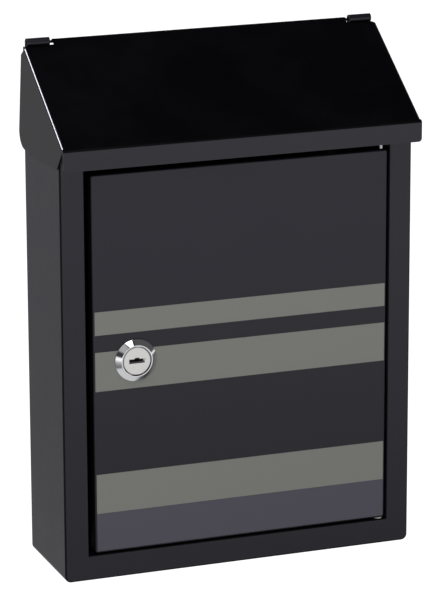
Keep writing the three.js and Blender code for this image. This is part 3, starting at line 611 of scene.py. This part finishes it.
nylon, tree, shader = new_material("natural turned nylon", IOR=1.53, Roughness=0.45, Subsurface_Weight=0.2)
shader.inputs["Subsurface Radius"].default_value = WAX_DEPTH
place = add(tree, "ShaderNodeTexCoord").outputs["Object"]
rings = add(tree, "ShaderNodeTexWave", {
    "Vector": place, "Scale": per_mm(TURNING_MM), "Distortion": 0.6}, bands_direction="Z")
milk = add(tree, "ShaderNodeMix", {"Factor": rings.outputs["Fac"]}, data_type="RGBA")
milk.inputs["A"].default_value = linear("#DDDAD0")
milk.inputs["B"].default_value = linear("#E8E5DC")
turned_bump = add(tree, "ShaderNodeBump", {
    "Height": rings.outputs["Fac"], "Strength": 0.1, "Distance": TURNING_HEIGHT})
feed(tree, shader, {"Base Color": milk.outputs["Result"], "Normal": turned_bump.outputs["Normal"]})

# %% [markdown]
# ### Dressing the pieces
# Every CAD node names a material slot in its record, so one table from slot to finish dresses all of them in
# a loop, and the pieces made by hand follow. On the casing, the faces of the outer bends beside the front
# are then told from the flats by their normals, and take a darker, duller coat: painted shade along the bends.

# %% Give every piece its finish
FINISH_OF_SLOT = {
    "black_powder_coat": satin_black,
    "gloss_black_coat": lid_black,
    "chrome_plate": chrome,
    "satin_nickel": satin_nickel,
    "zinc_plate": zinc,
    "brass": brass,
    "nylon": nylon,
    "grey_green_film": grey_green_vinyl,
    "violet_grey_film": violet_vinyl,
}


def wear(piece, material):
    """Puts one material in every slot of a piece."""
    if not piece.data.materials:
        piece.data.materials.append(material)
    for slot in piece.material_slots:
        slot.material = material


for row in frame["record"]["subparts"]:
    wear(nodes[row["node"]], FINISH_OF_SLOT[row["material_slot"]])
for piece in (casing, back_panel, front_rail, door):
    wear(piece, satin_black)
wear(lid, lid_black)
wear(plug, satin_nickel)
wear(collar, chrome)
wear(shutter, blued_steel_keyway_shade)

# %% Painted shade on the casing's bends
MOST_FORWARD, LEAST_FORWARD = -0.97, -0.15   # a bend's normals along Y, between the front and the side


def paint_shade_on_bends(piece, front):
    """Gives the faces of the outer bends beside the front a darker, duller coat: painted shade along them."""
    piece.data.materials.append(bend_painted_shade_coat)
    count = 0
    for face in piece.data.polygons:
        slanted = MOST_FORWARD < face.normal.y < LEAST_FORWARD
        if slanted and face.center.y < front + 2 * FOLD:
            face.material_index = len(piece.data.materials) - 1
            count += 1
    print(piece.name, "bend faces with painted shade:", count)


paint_shade_on_bends(casing, front_y)

# %% [markdown]
# ## The studio
# A black glossy sheet shows its surroundings more than its own colour, so the studio is where most of its
# brightness is made. The floor is a wide pale light table well below the box, which the front and the sides
# mirror, and the studio above it is dark, which keeps the roof black.
#
# The table's glow is graded, as a row of lamps under a sheet would grade it: bright far ahead and dim near
# the box, behind the box dimmer towards the left, and with a brighter patch below the box's left. To the eye
# itself the table is one even white, so the grading is found only in what the box mirrors.

# %% Light table
FLOOR_Z = -0.6
FLOOR_SIZE = 120
EVEN_WHITE = 1.1
AHEAD = {"From Min": -2.6, "From Max": -0.6, "To Min": 1.25, "To Max": 0.15}    # along Y
BEHIND = {"From Min": -0.75, "From Max": -0.15, "To Min": 0.3, "To Max": 1.0}   # along the slant
SLANT = -0.3              # how far the slant turns from X towards Y
TURNOVER = {"From Min": 0.1, "From Max": 0.9}   # along Y, from what is ahead to what is behind
PATCH_MIDDLE = (-0.3, -0.2, 0)
PATCH = {"From Min": 0.35, "From Max": 0.75, "To Min": 0.7, "To Max": 0.0}      # out from its middle

bpy.ops.object.select_all(action="DESELECT")
bpy.ops.mesh.primitive_plane_add(size=FLOOR_SIZE, location=(0, 0, FLOOR_Z))
floor = bpy.context.object
floor.name = "light_table"
floor_material, tree, shader = new_material("pale light table", Roughness=0.9)
shader.inputs["Base Color"].default_value = linear("#2A2A2A")
shader.inputs["Emission Color"].default_value = (1, 1, 1, 1)
on_table = add(tree, "ShaderNodeTexCoord").outputs["Object"]
place = add(tree, "ShaderNodeSeparateXYZ", {"Vector": on_table})
slant = add(tree, "ShaderNodeMath", {
    0: place.outputs["Y"], 1: SLANT, 2: place.outputs["X"]}, operation="MULTIPLY_ADD")
ahead = add(tree, "ShaderNodeMapRange", {"Value": place.outputs["Y"], **AHEAD})
behind = add(tree, "ShaderNodeMapRange", {"Value": slant.outputs["Value"], **BEHIND})
is_behind = add(tree, "ShaderNodeMapRange", {"Value": place.outputs["Y"], **TURNOVER})
glow = add(tree, "ShaderNodeMix", {
    "Factor": is_behind.outputs["Result"], "A": ahead.outputs["Result"], "B": behind.outputs["Result"]},
    data_type="FLOAT")
from_patch = add(tree, "ShaderNodeVectorMath", {0: on_table, 1: PATCH_MIDDLE}, operation="DISTANCE")
patch = add(tree, "ShaderNodeMapRange", {
    "Value": from_patch.outputs["Value"], **PATCH}, interpolation_type="SMOOTHSTEP")
mirrored = add(tree, "ShaderNodeMath", {
    0: glow.outputs["Result"], 1: patch.outputs["Result"]}, operation="MAXIMUM")
to_the_eye = add(tree, "ShaderNodeLightPath").outputs["Is Camera Ray"]
seen = add(tree, "ShaderNodeMix", {
    "Factor": to_the_eye, "A": mirrored.outputs["Value"], "B": EVEN_WHITE}, data_type="FLOAT")
tree.links.new(seen.outputs["Result"], shader.inputs["Emission Strength"])
floor.data.materials.append(floor_material)
print("light table", FLOOR_SIZE, "m wide,", -FLOOR_Z, "m below the box's middle")

# %% [markdown]
# ### The dark studio
# The walls are seen only in reflections. A band of haze softens the horizon, and a dim window on the left
# and a dimmer wall on the right, both ending under the ceiling, give the chrome something to mirror. Each is
# a soft step along one axis of the direction in which the light comes.

# %% Surroundings
SOFT_STEPS = {            # its axis, where it starts and ends, and its strength at the start and the end
    "haze": ("Z", 0.0, 0.1, 1.0, 0.0),
    "left wall": ("X", -0.22, -0.36, 0.0, 0.5),
    "above the sill": ("Z", 0.3, 0.42, 0.1, 1.0),
    "right wall": ("X", 0.1, 0.25, 0.0, 0.1),
    "below the ceiling": ("Z", 0.8, 0.9, 1.0, 0.0),
}

world = bpy.data.worlds.new("dark studio with a pale horizon")
bpy.context.scene.world = world
world.use_nodes = True
sky = world.node_tree
direction = add(sky, "ShaderNodeTexCoord").outputs["Generated"]
along = add(sky, "ShaderNodeSeparateXYZ", {"Vector": direction})
step = {}
for name, (axis, start, end, at_start, at_end) in SOFT_STEPS.items():
    ramp = add(sky, "ShaderNodeMapRange", {
        "Value": along.outputs[axis], "From Min": start, "From Max": end,
        "To Min": at_start, "To Max": at_end}, interpolation_type="SMOOTHSTEP")
    step[name] = ramp.outputs["Result"]
window = add(sky, "ShaderNodeMath", {0: step["left wall"], 1: step["above the sill"]}, operation="MULTIPLY")
walls = add(sky, "ShaderNodeMath", {0: window.outputs["Value"], 1: step["right wall"]}, operation="ADD")
lit_walls = add(sky, "ShaderNodeMath", {
    0: walls.outputs["Value"], 1: step["below the ceiling"]}, operation="MULTIPLY")
strength = add(sky, "ShaderNodeMath", {0: step["haze"], 1: lit_walls.outputs["Value"]}, operation="ADD")
background = sky.nodes["Background"]
background.inputs["Color"].default_value = (1, 1, 1, 1)
sky.links.new(strength.outputs["Value"], background.inputs["Strength"])
print("surroundings:", ", ".join(SOFT_STEPS))

# %% [markdown]
# ### Two soft boxes
# The box behind on the left draws the line of light along the roof's fold. The one above the front gives the
# chrome collar its highlight.

# %% Soft boxes
def soft_box(name, direction, distance, size, power):
    """A square soft light at a distance in a direction from the box, facing it. Metres and watts."""
    light = bpy.data.lights.new(name, "AREA")
    light.size = size
    light.energy = power
    lamp = bpy.data.objects.new(name, light)
    bpy.context.scene.collection.objects.link(lamp)
    towards = Vector(direction).normalized()
    lamp.location = towards * distance
    lamp.rotation_euler = towards.to_track_quat("Z", "Y").to_euler()
    print(name, "at", [round(c, 2) for c in lamp.location])


soft_box("fold_light", (-0.72, 0.31, 0.62), distance=2.2, size=0.7, power=60)
soft_box("collar_light", (-0.163, -0.487, 0.847), distance=2.2, size=1.1, power=12)

# %% [markdown]
# ## The camera
# The box is seen from the left, above its middle, through a long lens: from 20 degrees to the left and 15
# degrees above, so that its verticals converge only slightly. The view is told as a standpoint and three
# angles, and the camera's axes are worked out from them.

# %% Camera
YAW, PITCH, ROLL = math.radians(20.525), math.radians(15.367), math.radians(-0.199)
STANDPOINT = (-0.82706, -2.24748, 0.65122)
LENS_MM = 207.36
SENSOR_MM = 36

forward = Vector((math.sin(YAW) * math.cos(PITCH), math.cos(YAW) * math.cos(PITCH), -math.sin(PITCH)))
level_right = Vector((math.cos(YAW), -math.sin(YAW), 0))
level_up = level_right.cross(forward)
right = level_right * math.cos(ROLL) + level_up * math.sin(ROLL)
up = level_up * math.cos(ROLL) - level_right * math.sin(ROLL)
lens = bpy.data.cameras.new("long lens")
lens.lens = LENS_MM
lens.sensor_width = SENSOR_MM
camera = bpy.data.objects.new("camera", lens)
bpy.context.scene.collection.objects.link(camera)
turn = Matrix((right, up, -forward)).transposed().to_4x4()
camera.matrix_world = Matrix.Translation(STANDPOINT) @ turn
bpy.context.scene.camera = camera
bpy.context.scene.view_settings.view_transform = "Standard"
print("camera", [round(c, 3) for c in camera.location])
